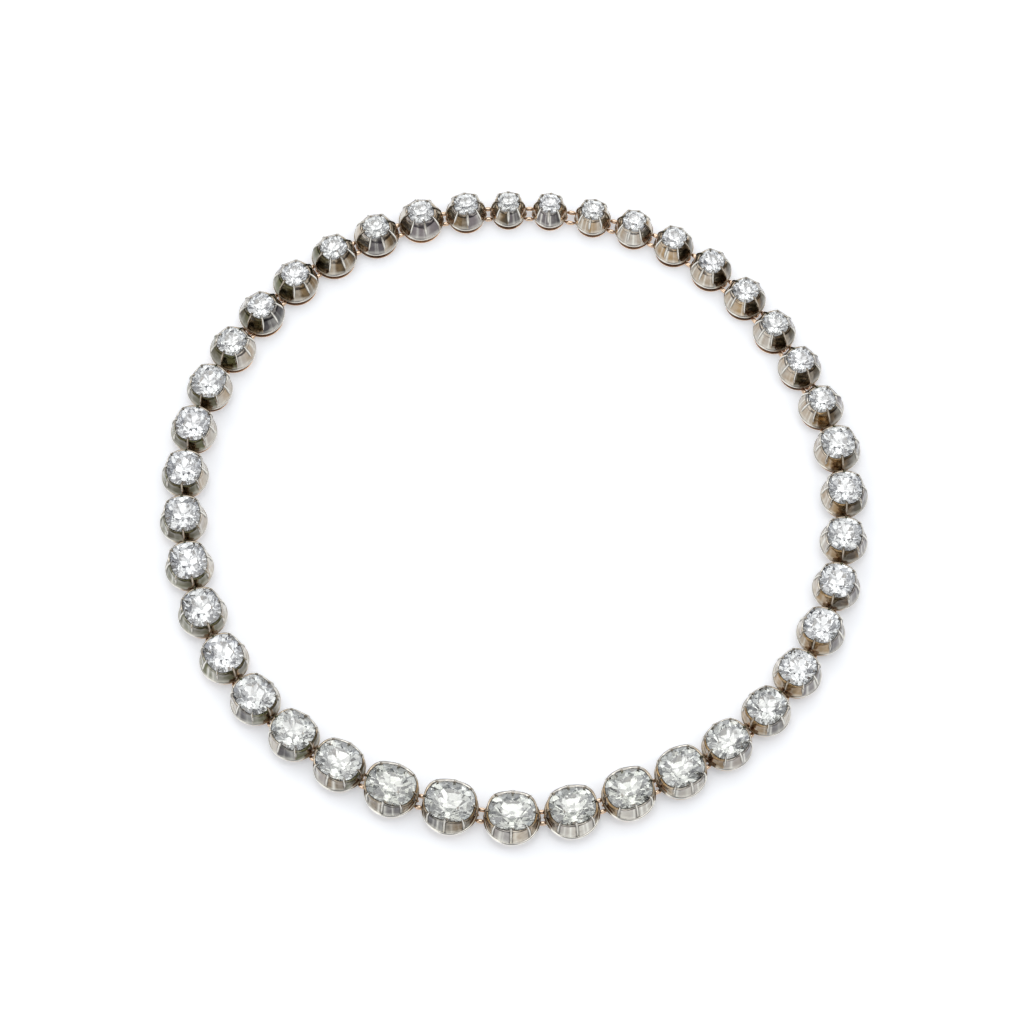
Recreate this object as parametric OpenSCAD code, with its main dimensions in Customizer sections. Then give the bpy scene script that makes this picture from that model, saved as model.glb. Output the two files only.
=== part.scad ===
// Riviere necklace: a closed row of old-cut stones, each in a ribbed silver
// collet on a gold back, joined by gold wire links. It lies on a flat surface
// with the largest stone to the front (-Y) and the clasp at the back (+Y).
// Millimetres, +Z up, the feet of the collets on z = 0.

/* [Row of collets] */
// Number of collets in the closed row
collet_count = 41; // [31:2:41]
// Width of the front collet over its rim
collet_w = 10.7; // [10.5:0.1:12]
// Clear way between the rims of the two front collets
rim_gap = 1; // [0.8:0.05:1.4]
// Least clear way between two rims anywhere in the row
least_gap = 0.5; // [0.5:0.02:0.7]

/* [Stones] */
// Long width of the front stone, along the row
stone_w = 8.2; // [7.4:0.1:8.3]
// Long width of the front stone over its width across the row
stone_oval = 1.16; // [1.1:0.01:1.2]
// Squareness of the stones seen from above, 2 is a plain ellipse
cushion = 2.5; // [2:0.1:3]
// Height of every girdle above the surface that the row lies on
girdle_z = 5.6; // [5:0.1:6]
// Thickness of the girdle
girdle_t = 0.22; // [0.14:0.02:0.3]
// Crown height as a share of the stone's long width
crown_share = 0.165; // [0.13:0.005:0.19]
// Pavilion depth as a share of the stone's long width
pavilion_share = 0.42; // [0.36:0.01:0.45]
// Table width as a share of the stone's width
table_share = 0.52; // [0.45:0.01:0.6]
// Width of the open culet as a share of the stone's width
culet_share = 0.1; // [0.06:0.01:0.14]

/* [Silver collets] */
// Thickness of the wall's edge round the stone
lip_t = 0.35; // [0.3:0.05:0.4]
// How far the wall's foot stands inside the rim
wall_inset = 0.45; // [0.3:0.05:0.6]
// Height of the rim's middle above the surface
rim_z = 1.9; // [1.85:0.05:2.1]
// Thickness of the rounded rim
rim_t = 0.7; // [0.6:0.05:0.8]
// Depth of the cut-down edge below the top of the girdle
cut_down = 0.12; // [0.05:0.01:0.2]
// Depth of the pocket that holds the girdle
pocket_d = 0.5; // [0.4:0.05:0.6]
// Clear gap between stone and metal
stone_gap = 0.12; // [0.1:0.01:0.2]

/* [Claws] */
// Number of ribs round each collet, each ending in a claw
claw_count = 8; // [8:2:10]
// Thickness of a rib at the rim
rib_t = 0.7; // [0.5:0.05:0.8]
// Thickness of a rib at its claw
neck_t = 0.44; // [0.4:0.02:0.48]
// Thickness of a claw's rounded tip
claw_t = 0.5; // [0.46:0.02:0.5]
// Height of the claw tips' middle above the girdle's middle
claw_rise = 0.46; // [0.46:0.02:0.5]

/* [Gold backs] */
// How far the gold foot stands inside the silver rim
foot_inset = 0.85; // [0.8:0.05:0.95]
// Thickness of the foot's wall
foot_t = 0.7; // [0.5:0.05:0.9]
// Height of the foot's straight side
foot_h = 1.33; // [1.3:0.01:1.4]

/* [Links] */
// Height of the links above the surface
link_z = 1; // [0.9:0.02:1.02]
// Thickness of the link wire
link_wire = 0.36; // [0.3:0.02:0.38]
// Width of a link between the middles of its two rails
link_w = 2.3; // [2.1:0.05:2.6]
// Clear way between a link's end bar and the foot that it hooks to
link_gap = 0.16; // [0.13:0.01:0.18]
// Thickness of the wire of the eyes on the collets
eye_wire = 0.34; // [0.3:0.02:0.36]
// Radius of an eye to the middle of its wire
eye_r = 0.72; // [0.7:0.01:0.76]
// Length of an eye's straight legs outside the foot
eye_leg = 0.1; // [0.05:0.01:0.12]
// Turn of the eyes about the row, 0 is flat and 90 stands upright
eye_tilt = 48; // [45:1:60]
// Thickness of the clasp's barrel, on its outer rail
barrel_t = 0.7; // [0.6:0.05:0.8]
// Length of the clasp's barrel
barrel_l = 0.9; // [0.7:0.05:1]

/* [Hidden] */
$fn = 48;

// Sections of the row, from the front centre clockwise as seen from above.
// Columns: way round the row, collet width as a share of collet_w,
// stone width as a share of its collet's width over the front stone's share,
// clear way between the rims as a share of rim_gap,
// long width over width across as a share of stone_oval.
ROW = [
    [0.00, 1.00, 1.00, 1.00, 1.00],
    [0.03, 1.00, 1.08, 0.95, 1.00],
    [0.05, 0.97, 1.10, 0.80, 1.00],
    [0.08, 0.92, 1.10, 0.65, 1.00],
    [0.12, 0.90, 1.08, 0.65, 0.97],
    [0.15, 0.89, 1.04, 0.95, 0.95],
    [0.18, 0.885, 1.06, 0.70, 0.95],
    [0.22, 0.865, 1.03, 0.52, 0.95],
    [0.29, 0.835, 1.02, 0.55, 0.95],
    [0.31, 0.85, 0.87, 0.62, 0.95],
    [0.33, 0.85, 0.765, 0.50, 0.94],
    [0.44, 0.83, 0.735, 0.52, 0.94],
    [0.49, 0.655, 0.80, 1.00, 0.93],
    [0.52, 0.65, 0.79, 1.60, 0.90],
    [0.56, 0.71, 0.76, 0.90, 0.90],
    [0.61, 0.77, 0.76, 0.90, 0.90],
    [0.68, 0.80, 0.78, 0.70, 0.90],
    [0.71, 0.84, 0.755, 0.55, 0.90],
    [0.73, 0.855, 0.94, 0.60, 0.90],
    [0.85, 0.875, 0.97, 0.50, 0.90],
    [0.88, 0.88, 1.02, 0.50, 0.92],
    [0.93, 0.935, 1.07, 0.55, 0.95],
    [0.99, 1.00, 0.98, 0.75, 1.00],
    [1.00, 1.00, 1.00, 1.00, 1.00]
];

// Route of the row seen from above, chosen by eye and closed. Only its shape
// counts: it is brought to the length that the collets and gaps need.
ROUTE = [
    [0, -64.2], [-22, -59], [-40.7, -48], [-54.2, -32.5], [-61.5, -13], [-62.9, 6.5],
    [-58.7, 25], [-49, 41.5], [-35.5, 54], [-18, 62.3], [0, 64.5], [16.5, 62.6],
    [32, 56.4], [45.5, 45], [56, 29.5], [62.8, 11.5], [63.4, -7.5], [58.8, -25.8],
    [48.2, -42.5], [32.5, -54.8], [12, -62.8]
];
route_steps = 12;

function column(n) = [for (row = ROW) [row[0], row[n]]];
function share_at(i, n) = lookup(i / collet_count, column(n));

// Widths and gaps of collet i and of the joint that follows it
function collet_d(i) = collet_w * share_at(i, 1);
function collet_r(i) = collet_d(i) / 2;
function stone_a(i) = stone_w / collet_w * share_at(i, 2) * collet_r(i);
function stone_b(i) = stone_a(i) / max(1, stone_oval * share_at(i, 4));
function gap_after(i) = max(least_gap, rim_gap * share_at(i + 0.5, 3));
function foot_r(i) = collet_r(i) - foot_inset;

// The pitch from each collet to the next, and the way to each from the first
pitches = [for (i = [0 : collet_count - 1])
    collet_r(i) + collet_r((i + 1) % collet_count) + gap_after(i)];
function sum_to(v, n) = n <= 0 ? 0 : v[n - 1] + sum_to(v, n - 1);
row_length = sum_to(pitches, collet_count);

// A smooth closed curve through the route's points
function wrap(v, i) = v[(i + len(v)) % len(v)];
function smooth(a, b, c, d, t) =
    0.5 * (2 * b + (c - a) * t + (2 * a - 5 * b + 4 * c - d) * t * t
        + (3 * b - a - 3 * c + d) * t * t * t);
curve = [for (i = [0 : len(ROUTE) - 1], s = [0 : route_steps - 1])
    smooth(wrap(ROUTE, i - 1), ROUTE[i], wrap(ROUTE, i + 1), wrap(ROUTE, i + 2),
        s / route_steps)];
curve_sides = [for (i = [0 : len(curve) - 1]) norm(wrap(curve, i + 1) - curve[i])];
curve_ways = [for (i = 0, way = 0; i <= len(curve);
    way = way + wrap(curve_sides, i), i = i + 1) way];
curve_length = curve_ways[len(curve)];
route_scale = row_length / curve_length;
function on_route(way) = route_scale * [
    lookup(way / route_scale, [for (i = [0 : len(curve)]) [curve_ways[i], wrap(curve, i)[0]]]),
    lookup(way / route_scale, [for (i = [0 : len(curve)]) [curve_ways[i], wrap(curve, i)[1]]])];

// Places of the collets, with the middle of the whole row on the origin, and
// the direction of the row through each
laid = [for (i = [0 : collet_count - 1]) on_route(sum_to(pitches, i))];
function low(k) = min([for (i = [0 : collet_count - 1]) laid[i][k] - collet_r(i)]);
function high(k) = max([for (i = [0 : collet_count - 1]) laid[i][k] + collet_r(i)]);
row_middle = [low(0) + high(0), low(1) + high(1)] / 2;
places = [for (i = [0 : collet_count - 1]) laid[i] - row_middle];
function place(i) = wrap(places, i);
function heading(v) = atan2(v[1], v[0]);
function row_angle(i) = heading(place(i + 1) - place(i - 1));

// Heights of the parts of a collet
lip_z = girdle_z + girdle_t / 2 - cut_down;
seat_z = lip_z - pocket_d;
wall_z = rim_z + rim_t / 2;
claw_z = girdle_z + claw_rise;
under_claw_z = claw_z - 0.36 * claw_t;

// How far the round hole goes on straight below the pocket's floor
hole_drop = 0.15;

// Slope of a stone's lower half facets, as a share of its straight pavilion
low_slope = 0.7;

// Names of the nodes
function two_digits(n) = n < 10 ? str("0", n) : str(n);

// Radius of a cushion outline with half widths a and b, in direction t
function cushion_r(a, b, t) =
    pow(pow(abs(cos(t)) / a, cushion) + pow(abs(sin(t)) / b, cushion), -1 / cushion);
function cushion_at(a, b, t, share = 1) = share * cushion_r(a, b, t) * [cos(t), sin(t)];

// The silver wall and rim and the gold foot, turned about the collet's axis
module shell(i) {
    r = collet_r(i);
    a = stone_a(i);
    lip_r = a + stone_gap + lip_t;
    // Half width of the stone at the pocket's floor, where it is widest
    stone_r = cushion_r(a, stone_b(i), 180 / claw_count)
        * (1 - low_slope * (girdle_z - girdle_t / 2 - seat_z) / (2 * a * pavilion_share));
    hole_r = stone_r + stone_gap;
    rotate_extrude($fn = 64)
        union() {
            polygon([
                [foot_r(i) - foot_t, 0], [foot_r(i), 0], [foot_r(i), foot_h],
                [r - rim_t / 2, rim_z - rim_t / 2], [r - rim_t / 2, wall_z],
                [r - wall_inset, wall_z], [lip_r, lip_z], [hole_r, lip_z],
                [hole_r, seat_z - hole_drop]]);
            translate([r - rim_t / 2, rim_z])
                circle(d = rim_t);
        }
}

// A straight tapered bar between two points
module bar(from, to, from_t, to_t) {
    way = to - from;
    translate(from)
        rotate([0, acos(way[2] / norm(way)), heading(way)])
            cylinder(d1 = from_t, d2 = to_t, h = norm(way));
}

// The ribs that run up the wall, each with a claw over the girdle
module claws(i) {
    rib_r = collet_r(i) - wall_inset;
    for (k = [0 : claw_count - 1]) {
        t = 360 * k / claw_count;
        tip_r = cushion_r(stone_a(i), stone_b(i), t) + stone_gap;
        tip = [tip_r * cos(t), tip_r * sin(t), claw_z];
        bar([rib_r * cos(t), rib_r * sin(t), rim_z], tip, rib_t, neck_t);
        translate(tip)
            sphere(d = claw_t);
    }
}

// A wire eye on the foot, in direction t, for the link to pass through,
// turned about the row by the angle tilt
module eye(i, t, tilt) {
    rotate([0, 0, t])
        translate([foot_r(i), 0, link_z])
            rotate([tilt, 0, 0]) {
                translate([eye_leg, 0, 0])
                    rotate([0, 0, -90])
                        rotate_extrude(angle = 180)
                            translate([eye_r, 0])
                                circle(d = eye_wire);
                for (y = [-eye_r, eye_r])
                    translate([-foot_t / 2, y, 0])
                        rotate([0, 90, 0])
                            cylinder(d = eye_wire, h = foot_t / 2 + eye_leg);
            }
}

// One setting: shell, claws and two eyes are soldered into one solid
module collet(i) {
    a = stone_a(i) + stone_gap;
    b = stone_b(i) + stone_gap;
    color("silver")
        translate(place(i))
            difference() {
                union() {
                    // Turned so that the seam of its round faces lies between two ribs
                    rotate([0, 0, row_angle(i) + 540 / claw_count])
                        shell(i);
                    rotate([0, 0, row_angle(i)])
                        claws(i);
                    eye(i, heading(place(i + 1) - place(i)), eye_tilt);
                    eye(i, heading(place(i - 1) - place(i)), -eye_tilt);
                }
                translate([0, 0, seat_z])
                    rotate([0, 0, row_angle(i)])
                        linear_extrude(height = under_claw_z - seat_z)
                            polygon([for (t = [0 : 15 : 345]) cushion_at(a, b, t)]);
            }
}

// An old-cut stone: table, star, main and half facets above the girdle,
// half and main facets and an open culet below it
module stone(i) {
    a = stone_a(i);
    b = stone_b(i);
    n = claw_count;
    half = 180 / n;
    crown = 2 * a * crown_share;
    pavilion = 2 * a * pavilion_share;
    star_share = 0.8;
    low_share = 0.5;
    star_z = crown * (1 - (star_share * cos(half) - table_share) / (1 - table_share));
    low_z = pavilion * (1 - low_share * cos(half)) / (1 - culet_share);
    function ring(share, first, z, count) = [for (k = [0 : count - 1])
        let (p = cushion_at(a, b, first + 360 * k / count, share)) [p[0], p[1], z]];
    points = concat(
        ring(table_share, 0, girdle_t / 2 + crown, n),
        ring(star_share, half, girdle_t / 2 + star_z, n),
        ring(1, 0, girdle_t / 2, 2 * n),
        ring(1, 0, -girdle_t / 2, 2 * n),
        ring(low_share, half, -girdle_t / 2 - low_z, n),
        ring(culet_share / cos(half), half, -girdle_t / 2 - pavilion, n));
    star = n;
    top = 2 * n;
    under = 4 * n;
    low = 6 * n;
    culet = 7 * n;
    faces = concat(
        [[for (k = [0 : n - 1]) n - 1 - k]],
        [for (k = [0 : n - 1]) let (next = (k + 1) % n, g = top + 2 * k, h = top + 2 * next)
            each [
                [k, next, star + k],
                [k, star + k, g],
                [next, h, star + k],
                [star + k, g + 1, g],
                [star + k, h, g + 1]]],
        [for (j = [0 : 2 * n - 1]) let (next = (j + 1) % (2 * n))
            [top + j, top + next, under + next, under + j]],
        [for (k = [0 : n - 1]) let (next = (k + 1) % n, g = under + 2 * k, h = under + 2 * next)
            each [
                [low + k, g, g + 1],
                [low + k, g + 1, h],
                [g, low + k, culet + k],
                [h, culet + k, low + k],
                [h, culet + next, culet + k]]],
        [[for (k = [0 : n - 1]) culet + k]]);
    translate([place(i)[0], place(i)[1], girdle_z])
        rotate([0, 0, row_angle(i)])
            polyhedron(points, faces);
}

// All the stones, each loose in its own collet
module stones() {
    color("white")
        for (i = [0 : collet_count - 1])
            stone(i);
}

// A flat wire link between collet i and the next, through an eye of each
module link(i) {
    from = place(i);
    way = place(i + 1) - from;
    clear = norm(way) - foot_r(i) - foot_r((i + 1) % collet_count);
    half_l = clear / 2 - link_gap - link_wire / 2;
    stations = 16;
    wire_sides = 6;
    squareness = 4;
    function reach(t) = pow(pow(abs(cos(t)) / half_l, squareness)
        + pow(abs(sin(t)) / (link_w / 2), squareness), -1 / squareness);
    function middle(k) = let (t = 360 * k / stations) reach(t) * [cos(t), sin(t)];
    points = [for (k = [0 : stations - 1], s = [0 : wire_sides - 1])
        let (
            along = middle(k + 1) - middle(k - 1),
            out = [along[1], -along[0]] / norm(along),
            p = middle(k) + link_wire / 2 * cos(360 * s / wire_sides) * out)
        [p[0], p[1], link_wire / 2 * sin(360 * s / wire_sides)]];
    faces = [for (k = [0 : stations - 1], s = [0 : wire_sides - 1])
        let (
            here = k * wire_sides,
            there = (k + 1) % stations * wire_sides,
            s2 = (s + 1) % wire_sides)
        [here + s, here + s2, there + s2, there + s]];
    translate([from[0], from[1], link_z])
        rotate([0, 0, heading(way)])
            translate([foot_r(i) + clear / 2, 0, 0])
                polyhedron(points, faces);
}

clasp_at = floor(collet_count / 2);

// All the links but the clasp's
module links() {
    color("goldenrod")
        for (i = [0 : collet_count - 1])
            if (i != clasp_at)
                link(i);
}

// The clasp: a link that opens, with a plain barrel over its outer rail
module clasp() {
    from = place(clasp_at);
    way = place(clasp_at + 1) - from;
    clear = norm(way) - foot_r(clasp_at) - foot_r(clasp_at + 1);
    color("gold")
        union() {
            link(clasp_at);
            translate([from[0], from[1], link_z])
                rotate([0, 0, heading(way)])
                    translate([foot_r(clasp_at) + (clear - barrel_l) / 2, link_w / 2, 0])
                        rotate([0, 90, 0])
                            cylinder(d = barrel_t, h = barrel_l);
        }
}

for (i = [0 : collet_count - 1])
    collet(i);
stones();
links();
clasp();
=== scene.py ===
# Riviere necklace: the looks of the stones, their silver settings, gold feet, eyes and links
import math
import random

import bmesh
import bpy
import numpy as np
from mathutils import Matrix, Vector


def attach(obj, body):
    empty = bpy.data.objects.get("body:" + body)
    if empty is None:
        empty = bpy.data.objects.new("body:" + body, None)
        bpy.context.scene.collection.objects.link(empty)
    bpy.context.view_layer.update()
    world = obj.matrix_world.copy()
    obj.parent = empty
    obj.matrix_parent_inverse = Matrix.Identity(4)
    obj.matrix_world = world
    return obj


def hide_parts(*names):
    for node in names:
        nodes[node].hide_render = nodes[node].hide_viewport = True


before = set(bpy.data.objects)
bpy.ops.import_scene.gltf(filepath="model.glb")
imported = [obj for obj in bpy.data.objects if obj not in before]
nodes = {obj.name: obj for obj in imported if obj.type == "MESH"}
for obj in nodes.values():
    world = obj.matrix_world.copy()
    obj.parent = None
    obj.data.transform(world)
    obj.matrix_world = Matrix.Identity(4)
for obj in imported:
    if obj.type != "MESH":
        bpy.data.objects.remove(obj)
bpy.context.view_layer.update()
scene = bpy.context.scene
mm = 0.001
print("frame loaded:", len(nodes), "nodes")

viewSet = {
    "aim": (-0.439, 0.757),  # point of the table that the camera looks at, mm
    "distance": 830,  # mm from that point
    "elevation": 65,  # degrees above the table
    "lens": 151.7,
    "shiftUp": -0.002,
}


def makeCamera():
    data = bpy.data.cameras.new("camera")
    data.lens = viewSet["lens"]
    data.sensor_width = 36
    data.shift_y = viewSet["shiftUp"]
    data.clip_start = 0.01
    data.clip_end = 50
    camera = bpy.data.objects.new("camera", data)
    scene.collection.objects.link(camera)
    e = math.radians(viewSet["elevation"])
    away = Vector((0, -math.cos(e), math.sin(e))) * viewSet["distance"]
    camera.location = (Vector((*viewSet["aim"], 0)) + away) * mm
    camera.rotation_euler = (math.radians(90) - e, 0, 0)
    scene.camera = camera


stageSet = {
    "floorSize": 6.0,  # metres
    "floorColour": (0.95, 0.965, 0.99, 1),
    "floorGlow": 0.36,  # the paper lies on a lit table
    "glowColour": (0.93, 0.97, 1.0, 1),
    "skyStrength": 1.38,
    "overhead": (1.0, 0.995, 0.99, 1),
    "overheadFrom": 0.55,  # height above which the sky is as bright as overhead
    "horizon": (0.50, 0.53, 0.60, 1),
    "dark": (0.07, 0.07, 0.085, 1),
    "keyLight": (0.55, 0.55, 0.55),  # added round the direction of the main soft light
    "keyFrom": (0.0, 0.5, 0.85),
    "keyReach": (0.95, 0.72),  # full within this cosine, gone at this one
    # dark cards round the table: direction, full within this cosine, gone at this one, depth
    "cards": (((0.0, -0.42, 0.906), 0.96, 0.90, 0.92), ((0.85, -0.5, 0.12), 0.90, 0.72, 0.9),
              ((-0.2, 0.95, 0.22), 0.93, 0.80, 0.8), ((-0.95, 0.1, 0.15), 0.95, 0.86, 0.8),
              ((0.5, 0.45, 0.74), 0.97, 0.90, 0.85), ((-0.55, 0.1, 0.83), 0.98, 0.93, 0.85),
              ((-0.1, -0.93, 0.35), 0.95, 0.85, 0.8), ((0.2, 0.2, 0.95), 0.988, 0.965, 0.8),
              ((-0.3, 0.35, 0.88), 0.988, 0.965, 0.8), ((0.15, 0.7, 0.7), 0.985, 0.96, 0.8),
              ((-0.2, -0.05, 0.97), 0.992, 0.975, 0.75), ((0.35, 0.55, 0.76), 0.99, 0.975, 0.75)),
}


def makeStage():
    half = stageSet["floorSize"] / 2
    mesh = bpy.data.meshes.new("floor")
    corners = [(-half, -half, 0), (half, -half, 0), (half, half, 0), (-half, half, 0)]
    mesh.from_pydata(corners, [], [(0, 1, 2, 3)])
    floor = bpy.data.objects.new("floor", mesh)
    scene.collection.objects.link(floor)
    paper = bpy.data.materials.new("paper")
    paper.use_nodes = True
    shader = paper.node_tree.nodes["Principled BSDF"]
    shader.inputs["Base Color"].default_value = stageSet["floorColour"]
    shader.inputs["Roughness"].default_value = 0.9
    shader.inputs["Specular IOR Level"].default_value = 0.1
    shader.inputs["Emission Color"].default_value = stageSet["glowColour"]
    shader.inputs["Emission Strength"].default_value = stageSet["floorGlow"]
    mesh.materials.append(paper)


def join(tree, source, target):
    tree.links.new(source, target)


def makeSky():
    sky = bpy.data.worlds.new("studio")
    scene.world = sky
    sky.use_nodes = True
    tree = sky.node_tree
    tree.nodes.clear()
    new = tree.nodes.new
    out, back = new("ShaderNodeOutputWorld"), new("ShaderNodeBackground")
    back.inputs["Strength"].default_value = stageSet["skyStrength"]
    way, parts = new("ShaderNodeTexCoord"), new("ShaderNodeSeparateXYZ")
    join(tree, way.outputs["Generated"], parts.inputs[0])
    height = new("ShaderNodeValToRGB")
    height.color_ramp.elements[0].color = stageSet["horizon"]
    height.color_ramp.elements[1].position = stageSet["overheadFrom"]
    height.color_ramp.elements[1].color = stageSet["overhead"]
    join(tree, parts.outputs["Z"], height.inputs[0])
    colour = height.outputs["Color"]

    def patch(towards, inner, outer, depth):
        dot, mask = new("ShaderNodeVectorMath"), new("ShaderNodeMapRange")
        dot.operation = "DOT_PRODUCT"
        dot.inputs[1].default_value = Vector(towards).normalized()
        join(tree, way.outputs["Generated"], dot.inputs[0])
        mask.interpolation_type = "SMOOTHSTEP"
        mask.inputs["From Min"].default_value = outer
        mask.inputs["From Max"].default_value = inner
        mask.inputs["To Max"].default_value = depth
        join(tree, dot.outputs["Value"], mask.inputs["Value"])
        return mask.outputs["Result"]

    for card in stageSet["cards"]:
        mix = new("ShaderNodeMix")
        mix.data_type = "RGBA"
        join(tree, patch(*card), mix.inputs[0])
        join(tree, colour, mix.inputs[6])
        mix.inputs[7].default_value = stageSet["dark"]
        colour = mix.outputs[2]
    key = new("ShaderNodeMix")
    key.data_type = "RGBA"
    key.blend_type = "ADD"
    join(tree, patch(stageSet["keyFrom"], *stageSet["keyReach"], 1.0), key.inputs[0])
    join(tree, colour, key.inputs[6])
    key.inputs[7].default_value = (*stageSet["keyLight"], 1)
    join(tree, key.outputs[2], back.inputs["Color"])
    join(tree, back.outputs[0], out.inputs[0])
    scene.view_settings.view_transform = "Standard"
    scene.view_settings.look = "None"
    scene.cycles.max_bounces = 20
    scene.cycles.glossy_bounces = 16
    scene.cycles.transmission_bounces = 16


makeCamera()
makeStage()
makeSky()
print("camera, floor and light made")


def pointsOf(node):
    flat = np.empty(len(nodes[node].data.vertices) * 3, np.float32)
    nodes[node].data.vertices.foreach_get("co", flat)
    return flat.reshape(-1, 3).astype(float) / mm


def smoothStep(low, high, x):
    t = np.clip((x - low) / (high - low), 0, 1)
    return t * t * (3 - 2 * t)


# places and sizes of the settings and stones, read from the frame
placeSet = {
    "footInset": 0.85,  # the foot stands this far inside the rim
    "frontFrom": (-48, -60),  # y where a setting starts to count as a front one, and where it fully does
    "frontOval": 0.05,  # the front stones are narrower across by up to this share
    "frontGrow": 1.06,  # and fill more of their settings
    "squareness": 2.5,  # cushion outline, 2 is an ellipse
    "girdleZ": 5.6,  # middle of every girdle above the table
}
row = []
for name in sorted(n for n in nodes if n.startswith("collet_")):
    points = pointsOf(name)
    foot = points[points[:, 2] < 0.01]
    low, high = foot[:, :2].min(0), foot[:, :2].max(0)
    footR = float((high - low).mean()) / 2
    row.append({"name": name, "at": (low + high) / 2,
                "footR": footR, "rimR": footR + placeSet["footInset"]})

stonePoints = pointsOf("stones")
for i, one in enumerate(row):
    before, after = row[i - 1]["at"], row[(i + 1) % len(row)]["at"]
    one["along"] = (after - before) / np.linalg.norm(after - before)
    one["across"] = np.array([-one["along"][1], one["along"][0]])
    one["toNext"] = (after - one["at"]) / np.linalg.norm(after - one["at"])
    one["toBefore"] = (before - one["at"]) / np.linalg.norm(before - one["at"])
    gap = float(np.linalg.norm(after - one["at"]))
    one["clear"] = gap - one["footR"] - row[(i + 1) % len(row)]["footR"]  # between this foot and the next
    near = stonePoints[np.hypot(*(stonePoints[:, :2] - one["at"]).T) < one["rimR"]]
    rel = near[:, :2] - one["at"]
    one["front"] = float(smoothStep(*placeSet["frontFrom"], one["at"][1]))
    grow = 1 + (placeSet["frontGrow"] - 1) * one["front"]
    one["a"] = float(np.abs(rel @ one["along"]).max()) * grow
    one["b"] = float(np.abs(rel @ one["across"]).max()) * grow * (1 - placeSet["frontOval"] * one["front"])
    one["tableZ"] = float(near[:, 2].max())
    one["culetZ"] = float(near[:, 2].min())
print("places read:", len(row), "settings")


def cushionR(a, b, t):
    n = placeSet["squareness"]
    return (np.abs(np.cos(t) / a) ** n + np.abs(np.sin(t) / b) ** n) ** (-1 / n)


def newPiece(name, points, faces, materials, kinds=None, sharp=None, marks=None, faceMarks=None):
    mesh = bpy.data.meshes.new(name)
    mesh.from_pydata([tuple(p) for p in np.asarray(points) * mm], [], faces)
    for material in materials:
        mesh.materials.append(material)
    if kinds is not None:
        mesh.polygons.foreach_set("material_index", np.asarray(kinds, np.int32))
    if sharp is None:
        mesh.shade_flat()
    else:
        mesh.shade_smooth()
        mesh.set_sharp_from_angle(angle=math.radians(sharp))
    for group, domain in ((marks, "POINT"), (faceMarks, "FACE")):
        for label, values in (group or {}).items():
            values = np.asarray(values, np.float32)
            mesh.attributes.new(label, "FLOAT", domain).data.foreach_set("value", values)
    piece = bpy.data.objects.new(name, mesh)
    scene.collection.objects.link(piece)
    return piece


def handOver(piece, node):
    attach(piece, "root")
    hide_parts(node)


# sweeps a profile along drawn paths: a round wire, or a ridged star for the ribs
def sweepTree(name, ridged):
    tree = bpy.data.node_groups.new(name, "GeometryNodeTree")
    face = tree.interface
    face.new_socket("Paths", in_out="INPUT", socket_type="NodeSocketGeometry")
    if ridged:
        sizes = [("Ridges", "NodeSocketInt", 4), ("Flute", "NodeSocketFloat", 0.55),
                 ("Height share", "NodeSocketFloat", 0.8)]
    else:
        sizes = [("Sides", "NodeSocketInt", 10)]
    for label, kind, value in sizes:
        face.new_socket(label, in_out="INPUT", socket_type=kind).default_value = value
    face.new_socket("Finish", in_out="INPUT", socket_type="NodeSocketMaterial")
    face.new_socket("Geometry", in_out="OUTPUT", socket_type="NodeSocketGeometry")
    new = tree.nodes.new
    given, result = new("NodeGroupInput"), new("NodeGroupOutput")
    curve, normal = new("GeometryNodeMeshToCurve"), new("GeometryNodeSetCurveNormal")
    normal.mode = "FREE"
    outward, size = new("GeometryNodeInputNamedAttribute"), new("GeometryNodeInputNamedAttribute")
    outward.data_type = "FLOAT_VECTOR"
    outward.inputs["Name"].default_value = "outward"
    size.inputs["Name"].default_value = "size"
    join(tree, given.outputs["Paths"], curve.inputs["Mesh"])
    join(tree, curve.outputs["Curve"], normal.inputs["Curve"])
    join(tree, outward.outputs["Attribute"], normal.inputs["Normal"])
    if ridged:
        star, shape = new("GeometryNodeCurveStar"), new("GeometryNodeTransform")
        scale = new("ShaderNodeCombineXYZ")
        star.inputs["Outer Radius"].default_value = 1.0
        join(tree, given.outputs["Ridges"], star.inputs["Points"])
        join(tree, given.outputs["Flute"], star.inputs["Inner Radius"])
        join(tree, given.outputs["Height share"], scale.inputs["X"])
        scale.inputs["Y"].default_value = 1.0
        scale.inputs["Z"].default_value = 1.0
        join(tree, star.outputs["Curve"], shape.inputs["Geometry"])
        join(tree, scale.outputs[0], shape.inputs["Scale"])
        profile = shape.outputs["Geometry"]
    else:
        circle = new("GeometryNodeCurvePrimitiveCircle")
        circle.inputs["Radius"].default_value = 1.0
        join(tree, given.outputs["Sides"], circle.inputs["Resolution"])
        profile = circle.outputs["Curve"]
    sweep, real = new("GeometryNodeCurveToMesh"), new("GeometryNodeRealizeInstances")
    finish = new("GeometryNodeSetMaterial")
    sweep.inputs["Fill Caps"].default_value = True
    join(tree, normal.outputs["Curve"], sweep.inputs["Curve"])
    join(tree, profile, sweep.inputs["Profile Curve"])
    join(tree, size.outputs["Attribute"], sweep.inputs["Scale"])
    join(tree, sweep.outputs["Mesh"], real.inputs["Geometry"])
    join(tree, real.outputs["Geometry"], finish.inputs["Geometry"])
    join(tree, given.outputs["Finish"], finish.inputs["Material"])
    join(tree, finish.outputs["Geometry"], result.inputs["Geometry"])
    return tree


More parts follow.
